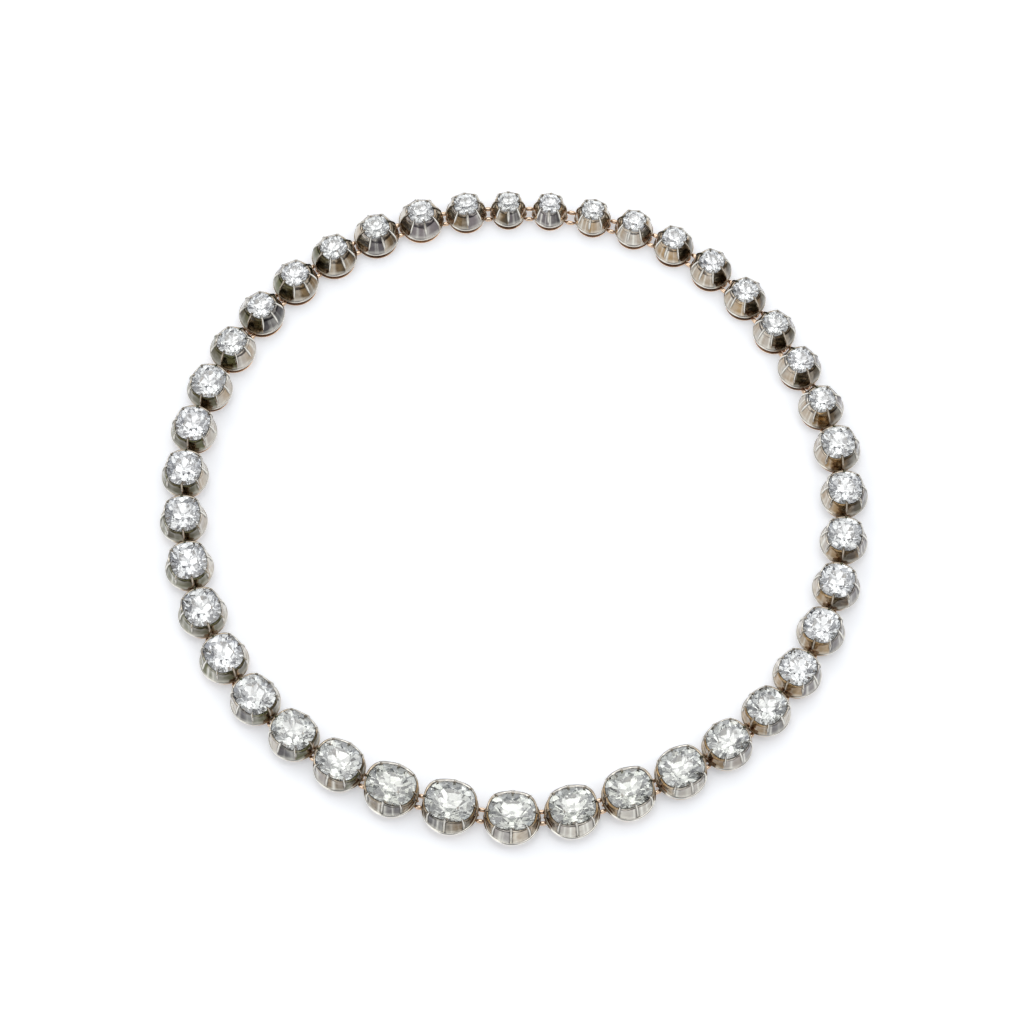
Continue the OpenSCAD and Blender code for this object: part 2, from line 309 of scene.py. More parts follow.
# paths hold (point, half width, outward direction); gives points, faces and how far out each point lies
def sweptMesh(tree, paths, finish, closed=False, **sizes):
    points, edges, widths, outwards = [], [], [], []
    for path in paths:
        first = len(points)
        for p, width, out in path:
            points.append(tuple(p))
            widths.append(width)
            outwards.append(tuple(out))
        edges += [(first + k, first + k + 1) for k in range(len(path) - 1)]
        if closed:
            edges.append((len(points) - 1, first))
    points, widths, outwards = np.array(points), np.array(widths), np.array(outwards)
    mesh = bpy.data.meshes.new("paths")
    mesh.from_pydata([tuple(p) for p in points * mm], edges, [])
    mesh.attributes.new("size", "FLOAT", "POINT").data.foreach_set("value", widths * mm)
    mesh.attributes.new("outward", "FLOAT_VECTOR", "POINT").data.foreach_set("vector", outwards.ravel())
    holder = bpy.data.objects.new("paths", mesh)
    scene.collection.objects.link(holder)
    modifier = holder.modifiers.new("sweep", "NODES")
    modifier.node_group = tree
    for item in tree.interface.items_tree:
        if item.in_out == "INPUT" and item.name in sizes:
            modifier[item.identifier] = sizes[item.name]
        if item.in_out == "INPUT" and item.name == "Finish":
            modifier[item.identifier] = finish
    seen = holder.evaluated_get(bpy.context.evaluated_depsgraph_get())
    made = bpy.data.meshes.new_from_object(seen)
    holder.modifiers.remove(modifier)
    bpy.data.objects.remove(holder)
    bpy.data.meshes.remove(mesh)
    corners = np.array([v.co for v in made.vertices]) / mm
    faces = [tuple(p.vertices) for p in made.polygons]
    bpy.data.meshes.remove(made)
    nearest = np.array([int(((points - c) ** 2).sum(1).argmin()) for c in corners])
    lift = ((corners - points[nearest]) * outwards[nearest]).sum(1) / np.maximum(widths[nearest], 0.01)
    return corners, faces, lift, nearest


metalSet = {
    "silver": (0.75, 0.73, 0.655, 1),
    # edge colours: rubbed edges and painted highlights; grime colours: grime and painted shade
    "silverEdge": (0.93, 0.905, 0.84, 1),
    "silverGrimeAndShade": (0.045, 0.036, 0.03, 1),
    # colours of the tarnish film and of the painted reflections on the panels, by the hue mark from 0 to 1
    "filmAndReflection": ((0.0, (0.050, 0.047, 0.047, 1)), (0.2, (0.185, 0.16, 0.162, 1)), (0.4, (0.42, 0.37, 0.31, 1)),
             (0.6, (0.38, 0.25, 0.12, 1)), (0.8, (0.062, 0.045, 0.028, 1)), (1.0, (0.12, 0.12, 0.055, 1))),
    "gold": (0.88, 0.64, 0.45, 1),
    # the same for gold: rubbed edges and painted highlights, then grime and painted shade
    "goldEdge": (0.97, 0.80, 0.62, 1),
    "goldGrimeAndShade": (0.15, 0.075, 0.04, 1),
}


# tarnish and painted shade: dark where the recess mark lies (hollows, undersides, beside ribs and links,
# where shade falls), broken up in patches and rubbed off the edges
def tarnishAndShadeGroup():
    tree = bpy.data.node_groups.new("tarnishAndShade", "ShaderNodeTree")
    face = tree.interface
    for label, value in (("Recess", 0.0), ("Edge", 0.0), ("Patch size", 1.2), ("Spread", 0.5)):
        face.new_socket(label, in_out="INPUT", socket_type="NodeSocketFloat").default_value = value
    for label in ("Mask", "Patches", "Grain"):
        face.new_socket(label, in_out="OUTPUT", socket_type="NodeSocketFloat")
    new = tree.nodes.new
    given, result, where = new("NodeGroupInput"), new("NodeGroupOutput"), new("ShaderNodeTexCoord")

    def maths(operation, *values, clamp=False):
        node = new("ShaderNodeMath")
        node.operation = operation
        node.use_clamp = clamp
        for k, value in enumerate(values):
            if isinstance(value, (int, float)):
                node.inputs[k].default_value = value
            else:
                join(tree, value, node.inputs[k])
        return node.outputs[0]

    patches, grain = new("ShaderNodeTexNoise"), new("ShaderNodeTexNoise")
    join(tree, where.outputs["Object"], patches.inputs["Vector"])
    join(tree, where.outputs["Object"], grain.inputs["Vector"])
    join(tree, maths("DIVIDE", 1000, given.outputs["Patch size"]), patches.inputs["Scale"])
    patches.inputs["Detail"].default_value = 4
    patches.inputs["Roughness"].default_value = 0.6
    grain.inputs["Scale"].default_value = 5200
    grain.inputs["Detail"].default_value = 2
    uneven = maths("MULTIPLY", maths("SUBTRACT", patches.outputs[0], 0.5), given.outputs["Spread"])
    mask = maths("SUBTRACT", maths("ADD", given.outputs["Recess"], maths("MULTIPLY", uneven, 1.6)),
                 maths("MULTIPLY", given.outputs["Edge"], 0.7), clamp=True)
    join(tree, mask, result.inputs["Mask"])
    join(tree, uneven, result.inputs["Patches"])
    join(tree, grain.outputs[0], result.inputs["Grain"])
    return tree


class Maker:
    def __init__(self, name):
        self.material = bpy.data.materials.new(name)
        self.material.use_nodes = True
        self.tree = self.material.node_tree
        self.shader = self.tree.nodes["Principled BSDF"]

    def new(self, kind, **settings):
        node = self.tree.nodes.new(kind)
        for key, value in settings.items():
            setattr(node, key, value)
        return node

    def put(self, value, socket):
        if hasattr(value, "is_linked"):
            join(self.tree, value, socket)
        else:
            socket.default_value = value

    def mark(self, name):
        return self.new("ShaderNodeAttribute", attribute_name=name).outputs["Fac"]

    def maths(self, operation, a, b, clamp=False):
        node = self.new("ShaderNodeMath", operation=operation, use_clamp=clamp)
        self.put(a, node.inputs[0])
        self.put(b, node.inputs[1])
        return node.outputs[0]

    def mix(self, share, a, b):
        node = self.new("ShaderNodeMix", data_type="RGBA")
        self.put(share, node.inputs[0])
        self.put(a, node.inputs[6])
        self.put(b, node.inputs[7])
        return node.outputs[2]

    def tarnishAndShade(self, recess, edge, patch, spread):
        node = self.new("ShaderNodeGroup", node_tree=tarnishAndShadeTree)
        for label, value in (("Recess", recess), ("Edge", edge), ("Patch size", patch), ("Spread", spread)):
            self.put(value, node.inputs[label])
        return node.outputs

    def bump(self, height, strength, distance):
        node = self.new("ShaderNodeBump")
        node.inputs["Strength"].default_value = strength
        node.inputs["Distance"].default_value = distance
        self.put(height, node.inputs["Height"])
        join(self.tree, node.outputs[0], self.shader.inputs["Normal"])


def makeSilver():
    m = Maker("silver")
    edge, recess, shade, hue = m.mark("edge"), m.mark("recess"), m.mark("shade"), m.mark("hue")
    old = m.tarnishAndShade(recess, edge, 1.3, 0.5)
    filmAndReflection = m.new("ShaderNodeValToRGB")
    ramp = filmAndReflection.color_ramp
    for k, (position, colour) in enumerate(metalSet["filmAndReflection"]):
        element = ramp.elements[k] if k < 2 else ramp.elements.new(position)
        element.position, element.color = position, colour
    # panel colour: tarnish film and painted reflections, from the hue and shade marks
    join(m.tree, m.maths("ADD", hue, m.maths("MULTIPLY", old["Patches"], 0.35)), filmAndReflection.inputs[0])
    patchy = m.maths("MULTIPLY", old["Patches"], m.maths("ADD", shade, 0.15))
    thick = m.maths("ADD", shade, patchy, clamp=True)
    colour = m.mix(thick, metalSet["silver"], filmAndReflection.outputs["Color"])
    # then grime and painted shade by the recess mark, and rubbed edges and painted highlights by the edge
    # mark
    colour = m.mix(m.maths("MULTIPLY", old["Mask"], 0.9), colour, metalSet["silverGrimeAndShade"])
    colour = m.mix(m.maths("MULTIPLY", edge, 0.9), colour, metalSet["silverEdge"])
    m.put(colour, m.shader.inputs["Base Color"])
    m.shader.inputs["Metallic"].default_value = 1
    rough = m.maths("ADD", m.maths("MULTIPLY", old["Mask"], 0.25), m.maths("MULTIPLY", old["Grain"], 0.10))
    m.put(m.maths("ADD", rough, m.maths("MULTIPLY", thick, 0.08)), m.shader.inputs["Roughness"])
    m.bump(old["Grain"], 0.12, 0.00002)
    return m.material


def makeGold():
    m = Maker("gold")
    edge, recess = m.mark("edge"), m.mark("recess")
    old = m.tarnishAndShade(recess, edge, 0.9, 0.55)
    # grime and painted shade by the recess mark, then rubbed edges and painted highlights by the edge mark
    colour = m.mix(old["Mask"], metalSet["gold"], metalSet["goldGrimeAndShade"])
    colour = m.mix(m.maths("MULTIPLY", edge, 0.7), colour, metalSet["goldEdge"])
    m.put(colour, m.shader.inputs["Base Color"])
    m.shader.inputs["Metallic"].default_value = 1
    rough = m.maths("ADD", m.maths("MULTIPLY", old["Mask"], 0.3), m.maths("MULTIPLY", old["Grain"], 0.2))
    m.put(m.maths("ADD", rough, 0.06), m.shader.inputs["Roughness"])
    m.bump(old["Grain"], 0.15, 0.00002)
    return m.material


diamondSet = {
    "clear": (0.775, 0.795, 0.80, 1),
    "body": (0.57, 0.59, 0.53, 1),  # the warmest stones' faint green-yellow
    "girdle": 0.35,  # roughness of the unpolished girdle
}


def makeDiamond():
    m = Maker("diamond")
    wisps = m.new("ShaderNodeTexNoise")
    where = m.new("ShaderNodeTexCoord")
    join(m.tree, where.outputs["Object"], wisps.inputs["Vector"])
    wisps.inputs["Scale"].default_value = 420
    wisps.inputs["Detail"].default_value = 3
    tint = m.maths("MULTIPLY", m.mark("body"), m.maths("ADD", wisps.outputs[0], 0.5), clamp=True)
    m.put(m.mix(tint, diamondSet["clear"], diamondSet["body"]), m.shader.inputs["Base Color"])
    m.put(m.maths("MULTIPLY", m.mark("bruted"), diamondSet["girdle"]), m.shader.inputs["Roughness"])
    m.shader.inputs["Transmission Weight"].default_value = 1
    m.shader.inputs["IOR"].default_value = 2.417
    m.bump(wisps.outputs[0], 0.02, 0.00001)
    return m.material


tarnishAndShadeTree = tarnishAndShadeGroup()
silver, gold, diamond = makeSilver(), makeGold(), makeDiamond()
print("finishes made")

stoneSet = {
    "girdleT": 0.22,  # thickness of the girdle, mm
    "table": 0.52,  # shares of the outline
    "star": 0.80,
    "low": 0.5,
    "culet": 0.11,
    "starDrop": 0.56,  # how far down the crown the star points lie
    "outlineSteps": 64,
    "turn": 2.0,  # unevenness of the old cut, degrees
    "shift": 0.012,  # and mm
    "upright": 0.12,  # facets whose normals rise less than this are the girdle
    "seed": 100,
    "bodySeed": 7,  # of each stone's warmth
}


# a stone cut from a cushion-shaped blank by one plane for each facet
def cutStone(one, seed):
    dice = random.Random(seed)
    a, b = one["a"], one["b"]
    topZ = placeSet["girdleZ"] + stoneSet["girdleT"] / 2
    lowZ = placeSet["girdleZ"] - stoneSet["girdleT"] / 2
    tableZ, culetZ = one["tableZ"] - 0.01, one["culetZ"] + 0.01

    def at(share, degrees, z):
        t = math.radians(degrees)
        r = share * float(cushionR(a, b, t))
        return Vector((r * math.cos(t), r * math.sin(t), z))

    steps = stoneSet["outlineSteps"]
    bm = bmesh.new()
    rings = [[bm.verts.new(at(0.997, 360 * k / steps, z)) for k in range(steps)] for z in (culetZ, tableZ)]
    bm.faces.new(rings[1])
    bm.faces.new(rings[0][::-1])
    for k in range(steps):
        j = (k + 1) % steps
        bm.faces.new((rings[0][k], rings[0][j], rings[1][j], rings[1][k]))

    def cut(p, q, r):
        normal = (q - p).cross(r - p).normalized()
        middle = (p + q + r) / 3
        if normal.dot(Vector((0, 0, placeSet["girdleZ"])) - middle) > 0:
            normal = -normal
        turn = math.radians(dice.uniform(-1, 1) * stoneSet["turn"])
        c, s = math.cos(turn), math.sin(turn)
        normal = Vector((normal.x * c - normal.y * s, normal.x * s + normal.y * c, normal.z)).normalized()
        middle = middle + normal * dice.uniform(-1, 0.3) * stoneSet["shift"]
        done = bmesh.ops.bisect_plane(bm, geom=bm.verts[:] + bm.edges[:] + bm.faces[:], dist=1e-5,
                                      plane_co=middle, plane_no=normal, clear_outer=True)
        rim = [g for g in done["geom_cut"] if isinstance(g, bmesh.types.BMEdge)]
        if len(rim) > 2:
            bmesh.ops.edgenet_fill(bm, edges=rim)

    starZ = tableZ - (tableZ - topZ) * stoneSet["starDrop"]
    deepShare = (1 - stoneSet["low"] * math.cos(math.radians(22.5))) / (1 - stoneSet["culet"])
    deepZ = lowZ - (lowZ - culetZ) * deepShare
    for t in range(0, 360, 45):
        side = Vector((-math.sin(math.radians(t)), math.cos(math.radians(t)), 0))
        star, starBefore = at(stoneSet["star"], t + 22.5, starZ), at(stoneSet["star"], t - 22.5, starZ)
        deep, deepBefore = at(stoneSet["low"], t + 22.5, deepZ), at(stoneSet["low"], t - 22.5, deepZ)
        tableEdge, top, under = at(stoneSet["table"], t, tableZ), at(1, t, topZ), at(1, t, lowZ)
        cut(tableEdge, top + side, top - side)
        cut(tableEdge, at(stoneSet["table"], t + 45, tableZ), star)
        cut(top, at(1, t + 22.5, topZ), star)
        cut(at(1, t - 22.5, topZ), top, starBefore)
        cut(at(stoneSet["culet"], t, culetZ), under + side, under - side)
        cut(under, at(1, t + 22.5, lowZ), deep)
        cut(at(1, t - 22.5, lowZ), under, deepBefore)
    bmesh.ops.remove_doubles(bm, verts=bm.verts[:], dist=0.004)
    bmesh.ops.recalc_face_normals(bm, faces=bm.faces[:])
    bm.verts.index_update()
    x, y = one["along"], one["across"]
    points = [(*(one["at"] + x * v.co.x + y * v.co.y), v.co.z) for v in bm.verts]
    faces = [tuple(v.index for v in f.verts) for f in bm.faces]
    rough = [1.0 if abs(f.normal.z) < stoneSet["upright"] else 0.0 for f in bm.faces]
    bm.free()
    return points, faces, rough


def makeStones():
    dice = random.Random(stoneSet["bodySeed"])
    points, faces, body, bruted = [], [], [], []
    for i, one in enumerate(row):
        p, f, rough = cutStone(one, stoneSet["seed"] + i)
        faces += [tuple(len(points) + k for k in face) for face in f]
        points += p
        bruted += rough
        warm = float(smoothStep(-30, -62, one["at"][1])) * 0.7 + dice.uniform(0, 0.3)
        body += [warm] * len(p)
    piece = newPiece("diamonds", points, faces, [diamond], marks={"body": body}, faceMarks={"bruted": bruted})
    handOver(piece, "stones")
    print("stones cut:", len(faces), "facets")


makeStones()

settingSet = {
    "seed": 500,
    "columns": 16,  # in each panel
    "claws": 8,
    "plateFront": 0.18,  # the gold base plate stands out from the foot, mm
    "plateBack": 0.48,
    # the gold foot's inside and its flare: outside the foot's radius, height, dirt and painted shade
    "footRings": ((-0.62, 0.06, 0.6), (-0.56, 0.0, 0.3)),
    "flareRings": ((0.0, 0.24, 0.8), (-0.02, 0.55, 0.7), (-0.01, 0.95, 0.75), (0.06, 1.22, 0.9)),
    # the same for the base plate between them, from its own edge
    "plateRings": ((-0.06, 0.0, 0.3), (-0.01, 0.04, 0.1), (0.0, 0.11, 0.0), (-0.03, 0.18, 0.1),
                   (-0.10, 0.215, 0.4)),
    "goldRim": (0.36, 1.62, 0.22),  # its bead's middle inside the rim's edge, height, radius
    # the gold bead: degrees, dirt and painted shade, darkest underneath and where it tucks under the silver
    "goldBead": ((-120, 0.8), (-90, 0.6), (-55, 0.4), (-25, 0.25), (0, 0.2), (25, 0.35), (50, 0.7)),
    "rimZ": 1.96,
    "rimFront": 0.34,  # radius of the silver bead in front
    "rimBack": 0.26,
    # the silver bead: degrees, dirt and painted shade underneath and inside, wear and painted highlight on
    # top
    "silverBead": ((-38, 0.5, 0), (-18, 0.1, 0.2), (4, 0, 0.6), (26, 0, 0.85), (48, 0, 0.85), (70, 0, 0.6),
                   (90, 0.1, 0.2), (112, 0.6, 0)),
    "wallIn": 0.15,  # the wall's foot stands this far inside the rim
    "wallInFront": 0.30,
    "wallZ": 2.2,
    "wallSteps": (0.0, 0.03, 0.08, 0.16, 0.26, 0.37, 0.48, 0.6, 0.72, 0.84, 0.94),
    "dome": 2.3,  # how late the wall leans in above its foot, 1 is straight
    "flatten": 0.9,  # panels between ribs, 1 is flat
    "lipUp": 0.04,  # lip above the girdle's middle
    "lipOut": 0.44,  # metal outside the stone at the lip
    "lipFar": 0.7,  # the front settings have this much more of it on their far side
    "lipDip": 0.24,  # cut down between two claws
    # the lip, rounded over and down to the bearing: outside the stone's edge, down, wear and painted
    # highlight, dirt and painted shade
    "lipRings": ((0.42, 0.12, 0.1, 0.05), (0.35, 0.04, 0.3, 0), (0.24, 0.0, 0.3, 0), (0.13, 0.0, 0.3, 0.05),
                 (0.06, 0.07, 0, 0.5), (0.05, 0.45, 0, 0.8)),
    "bearing": 0.93,  # the cup's inside under the stone, as a share of the stone's edge
    "thick": 0.42,  # wall at its foot
}

# hues are places on metalSet's film colours from 0 to 1; a pair is hue and darkness, the darkness partly
# tarnish and partly painted dark reflections
filmAndReflectionSet = {
    "byLink": 0.85,  # a panel lies by a link when it faces the neighbour within this cosine
    "toFront": 0.25,  # and looks to the front within this one
    "sideX": 30,  # left and right of this lie the row's sides, mm
    "farSideX": 50,
    "backY": 20,  # beyond this lies its back
    "linkLeft": (0.98, 0.88, 0.93, 0.84),
    "linkRight": ((0.62, 0.9), (0.80, 0.97)),  # panels that look left, and right
    "linkBack": (0.5, 0.44, 0.56, 0.3),
    "linkFront": (0.66, 0.60, 0.74),
    "front": ((0.03, 0.95), (0.08, 0.9), (0.2, 0.95), (0.74, 0.9), (0.42, 0.8), (0.3, 0.95)),
    "back": (0.03, 0.08, 0.15, 0.2, 0.74),
    "backShade": 0.95,
    "outerLeft": 0.97,
    "pale": 0.34,
}


def wallShare(s):
    return s ** settingSet["dome"]


def wallIn(one):
    return settingSet["wallIn"] + (settingSet["wallInFront"] - settingSet["wallIn"]) * one["front"]


def lipGrow(one, outY):
    return 1 + settingSet["lipFar"] * one["front"] * smoothStep(0.2, 0.9, outY)


# cosine between a direction and the nearer of the two neighbours
def facesLink(one, x, y):
    return np.maximum(*(x * one[way][0] + y * one[way][1] for way in ("toNext", "toBefore")))


# tarnish film and painted reflections of the panel that looks outX, outY: hue, darkness and strength of its
# light streaks, which are painted reflections
def panelFilmAndReflection(one, outX, outY, dice):
    x, y = one["at"]
    looksLeft = outX < 0
    if facesLink(one, outX, outY) > filmAndReflectionSet["byLink"]:
        if x < -filmAndReflectionSet["sideX"] and outY < 0:
            return dice.choice(filmAndReflectionSet["linkLeft"]), dice.uniform(0.9, 1.0), 0.2
        if x > filmAndReflectionSet["sideX"] and outY < 0:
            left, right = filmAndReflectionSet["linkRight"]
            return (*left, 0.7) if looksLeft else (*right, 0.1)
        if y > filmAndReflectionSet["backY"]:
            return dice.choice(filmAndReflectionSet["linkBack"]), dice.uniform(0.3, 0.65), 0.2
        return dice.choice(filmAndReflectionSet["linkFront"]), dice.uniform(0.8, 0.97), 0.2
    if abs(x) > filmAndReflectionSet["farSideX"]:
        if looksLeft == (x > 0):  # towards the loop's middle
            return dice.uniform(0.38, 0.5), dice.uniform(0.72, 0.94), 1.0
        hue = dice.uniform(0.08, 0.2) if x > 0 else filmAndReflectionSet["outerLeft"]
        return hue, dice.uniform(0.9, 1.0), 1.0
    if outY < -filmAndReflectionSet["toFront"]:
        streaks = 1.0
        hue, shade = dice.choice(filmAndReflectionSet["front"])
        if y > filmAndReflectionSet["backY"]:
            hue = dice.uniform(0.38, 0.58) if x > 15 else dice.choice(filmAndReflectionSet["back"])
            shade, streaks = filmAndReflectionSet["backShade"], 1.0 if x > 5 else 0.5
        # the settings right of the front are drawn paler
        pale = float(smoothStep(-45, -60, y) * smoothStep(-8, 5, x))
        return hue * (1 - pale) + filmAndReflectionSet["pale"] * pale, shade * (1 - 0.3 * pale), streaks
    return dice.uniform(0.16, 0.44), dice.uniform(0.6, 0.9), 1.0


def panelFilmsAndReflections(one, dice):
    filmsAndReflections = []
    behind = float(smoothStep(-20, 20, one["at"][1]))
    for k in range(settingSet["claws"]):
        t = (k + 0.5) * 2 * math.pi / settingSet["claws"]
        out = one["along"] * math.cos(t) + one["across"] * math.sin(t)
        hue, shade, streaks = panelFilmAndReflection(one, *out, dice)
        filmsAndReflections.append({"hue": hue, "turn": dice.uniform(-0.1, 0.1), "shade": min(shade + 0.15 * behind, 1),
                      "slope": dice.uniform(-0.35, 0.35),
                      "at1": dice.uniform(-0.75, -0.1), "at2": dice.uniform(0.1, 0.75),
                      "wide1": dice.uniform(0.08, 0.22), "wide2": dice.uniform(0.06, 0.16),
                      "light1": streaks * dice.uniform(0.1, 0.9), "light2": streaks * dice.uniform(0.0, 0.8)})
    return filmsAndReflections


# the setting without ribs and eyes: rings of points from inside the foot, out, up and back down inside
def ringWall(one, dice):
    claws = settingSet["claws"]
    n = settingSet["columns"] * claws
    t = np.arange(n) * 2 * math.pi / n
    panel = math.pi / claws
    off = (np.abs((t + panel) % (2 * panel) - panel) / panel) ** 0.8  # 0 on a rib, 1 in mid panel
    across = (t / (2 * panel)) % 1 * 2 - 1
    index = (t / (2 * panel)).astype(int) % claws
    filmsAndReflections = panelFilmsAndReflections(one, dice)
    pick = {key: np.array([filmAndReflection[key] for filmAndReflection in filmsAndReflections])[index] for key in filmsAndReflections[0]}
    # each panel's darkness: tarnish with painted dark reflections, lightened by painted reflection streaks
    filmAndReflectionShade = pick["shade"] + pick["slope"] * across
    for k in ("1", "2"):
        filmAndReflectionShade -= pick["light" + k] * np.exp(-((across - pick["at" + k]) / pick["wide" + k]) ** 2)
    outX = one["along"][0] * np.cos(t) + one["across"][0] * np.sin(t)
    outY = one["along"][1] * np.cos(t) + one["across"][1] * np.sin(t)
    # painted shade and grime where the setting faces its neighbours across the links
    linkShadeAndGrime = smoothStep(0.72, 0.93, facesLink(one, outX, outY))
    toFront = smoothStep(0.3, -0.3, outY)
    edge, girdle = cushionR(one["a"], one["b"], t), placeSet["girdleZ"]
    rimR, footR, front, y = one["rimR"], one["footR"], one["front"], one["at"][1]
    rings = []

    def ring(r, z, isGold, shade=0.2, hue=0.3, wearAndHighlight=0.0, recess=0.0):
        spread = [np.broadcast_to(v, n).astype(float) for v in (r, z, shade, hue, wearAndHighlight, recess)]
        rings.append((isGold, spread))

    def onBead(inside, z, radius, degrees):
        turn = math.radians(degrees)
        return rimR - inside + radius * math.cos(turn), z + radius * math.sin(turn)

    # gold foot with its base plate and flare, and the gold bead under the rim, with dirt and painted shade
    # underneath and beside the links
    plateFront, plateBack = settingSet["plateFront"], settingSet["plateBack"]
    plate = plateFront + (plateBack - plateFront) * smoothStep(5, 45, y) + dice.uniform(-0.05, 0.05)
    # a darkening of the gold that varies by setting, stronger everywhere but the back of the row
    goldDarkening = dice.uniform(-0.15, 0.2) + 0.2 * float(smoothStep(40, 25, y))
    for start, table in ((0, "footRings"), (plate, "plateRings"), (0, "flareRings")):
        for out, z, dirtAndShade in settingSet[table]:
            ring(footR + (start + out), z, True, recess=dirtAndShade + goldDarkening)
    for degrees, dirtAndShade in settingSet["goldBead"]:
        ring(*onBead(*settingSet["goldRim"], degrees), True, recess=dirtAndShade + goldDarkening + 0.3 * linkShadeAndGrime)
    # silver bead: darker on its far side and beside the links (painted shade and grime), lighter on the front
    # settings, with a painted highlight along its top on the near side only
    beadR = settingSet["rimBack"] + (settingSet["rimFront"] - settingSet["rimBack"]) * smoothStep(-10, -50, y)
    shade = 0.25 - 0.15 * front + 0.3 * (1 - toFront) + 0.4 * linkShadeAndGrime
    rubbedAndLit = toFront * (0.5 + 0.5 * front) * (1 - 0.9 * linkShadeAndGrime)
    for degrees, dirtAndShade, wearAndHighlight in settingSet["silverBead"]:
        ring(*onBead(beadR, settingSet["rimZ"], beadR, degrees), False, shade=shade, hue=0.38 + 0.3 * linkShadeAndGrime,
             wearAndHighlight=wearAndHighlight * rubbedAndLit, recess=dirtAndShade + 0.25 * linkShadeAndGrime)
    # wall, with grime and painted shade in the corners beside the ribs and along its foot, and a painted
    # reflection lightening its lowest part
    foot = np.full(n, rimR - wallIn(one))
    wider = lipGrow(one, outY)
    top = edge + settingSet["lipOut"] * wider
    lipZ = girdle + settingSet["lipUp"] - settingSet["lipDip"] * smoothStep(0.1, 1, off)
    for s in settingSet["wallSteps"]:
        r = foot + (top - foot) * wallShare(s)
        flat = settingSet["flatten"] * smoothStep(-0.05, 0.25, s) * (1 - 0.75 * smoothStep(0.6, 1, s))
        sag = r * (1 / np.cos(panel * (1 - off)) * math.cos(panel) - 1)  # chord between two ribs
        corner = (front + (1 - front) * smoothStep(0.3, 0.65, s)) * smoothStep(0.36, 0.2, off)
        ring(r + sag * flat, settingSet["wallZ"] + (lipZ - settingSet["wallZ"]) * s, False,
             shade=filmAndReflectionShade * (1 - 0.4 * smoothStep(0.3, 0.06, s)), hue=pick["hue"] + pick["turn"] * across,
             recess=np.clip(0.7 * smoothStep(0.05, 0.0, s) + 0.9 * corner, 0, 1))
    # lip, pale with a painted highlight on the far side of the stone, painted as dark as the panels on the
    # near side, with dirt and painted shade down its inside
    shade = 0.35 + 0.3 * linkShadeAndGrime + 0.45 * toFront * filmAndReflectionShade
    hue = (0.24 + 0.3 * linkShadeAndGrime) * (1 - toFront) + pick["hue"] * toFront
    for out, drop, wearAndHighlight, dirtAndShade in settingSet["lipRings"]:
        ring(edge + out * wider, lipZ - drop, False, shade=shade, hue=hue,
             wearAndHighlight=wearAndHighlight * (1 - linkShadeAndGrime) * (1 - toFront), recess=dirtAndShade)
    # inside of the cup, open at the back
    inner, under = foot - settingSet["thick"], edge * settingSet["bearing"]
    for r, z, isGold in ((under, girdle - 0.58, False), (under - 0.02, girdle - 0.8, False),
                         (under - 0.02, girdle - 1.0, False), ((under + inner) / 2, girdle - 2.0, False),
                         (inner, 2.3, False), (footR - 0.55, 1.6, False), (footR - 0.62, 1.2, True),
                         (footR - 0.64, 0.5, True)):
        ring(r, z, isGold, shade=0.3, recess=0.15)

    points = np.empty((len(rings), n, 3))
    marks = {"shade": [], "hue": [], "edge": [], "recess": []}
    for k, (isGold, (r, z, *rest)) in enumerate(rings):
        points[k, :, 0] = one["at"][0] + r * outX
        points[k, :, 1] = one["at"][1] + r * outY
        points[k, :, 2] = z
        for label, values in zip(marks, rest):
            marks[label].append(values)
    m = len(rings)
    faces, kinds = [], []
    for k in range(m):
        k2 = (k + 1) % m
        kinds += [1 if rings[k][0] and rings[k2][0] else 0] * n
        for j in range(n):
            j2 = (j + 1) % n
            faces.append((k * n + j, k * n + j2, k2 * n + j2, k2 * n + j))
    marks = {label: np.concatenate(values) for label, values in marks.items()}
    return points.reshape(-1, 3), faces, kinds, marks


ribSet = {
    "width": (0.03, 0.05, 0.10, 0.19, 0.27, 0.28, 0.25),  # half width from the rim up to the claw's neck
    "widthFront": (0.20, 0.22, 0.22, 0.22, 0.22, 0.22, 0.22),
    "height": 0.8,
    "flute": 0.5,
    "sunk": 0.06,  # its middle lies this far inside the wall
    # claw: outside the stone's edge, above the girdle, half width
    "claw": ((0.19, 0.26, 0.25), (0.09, 0.40, 0.24), (-0.04, 0.47, 0.23), (-0.15, 0.50, 0.20),
             (-0.24, 0.50, 0.14), (-0.30, 0.48, 0.04)),
}


def ribPaths(one):
    paths = []
    girdle = placeSet["girdleZ"]
    rise = girdle + settingSet["lipUp"] - settingSet["wallZ"]
    foot = one["rimR"] - wallIn(one)
    for k in range(settingSet["claws"]):
        t = k * 2 * math.pi / settingSet["claws"]
        edge = float(cushionR(one["a"], one["b"], t))
        turn = one["along"] * math.cos(t) + one["across"] * math.sin(t)
        top = edge + settingSet["lipOut"] * float(lipGrow(one, turn[1]))
        line = []
        for j, (width, widthFront) in enumerate(zip(ribSet["width"], ribSet["widthFront"])):
            width += (widthFront - width) * one["front"]
            s = max(-0.02 + 0.97 * j / (len(ribSet["width"]) - 1), 0)
            r = foot + (top - foot) * wallShare(s)
            line.append((r - ribSet["sunk"], settingSet["wallZ"] + rise * s, width))
        line += [(edge + out, girdle + up, width) for out, up, width in ribSet["claw"]]
        path = []
        for j, (r, z, width) in enumerate(line):
            r0, z0, _ = line[max(j - 1, 0)]
            r1, z1, _ = line[min(j + 1, len(line) - 1)]
            length = math.hypot(r1 - r0, z1 - z0)
            outward = (*(turn * (z1 - z0) / length), -(r1 - r0) / length)
            path.append(((*(one["at"] + turn * r), z), width, outward))
        paths.append(path)
    return paths


eyeSet = {
    "radius": 0.72,
    "wire": 0.17,
    "leg": 0.1,
    "root": 0.3,  # its ends reach this far into the foot
    "tilt": 48,
    "z": 1.0,
    "steps": 16,
    "sides": 10,
}


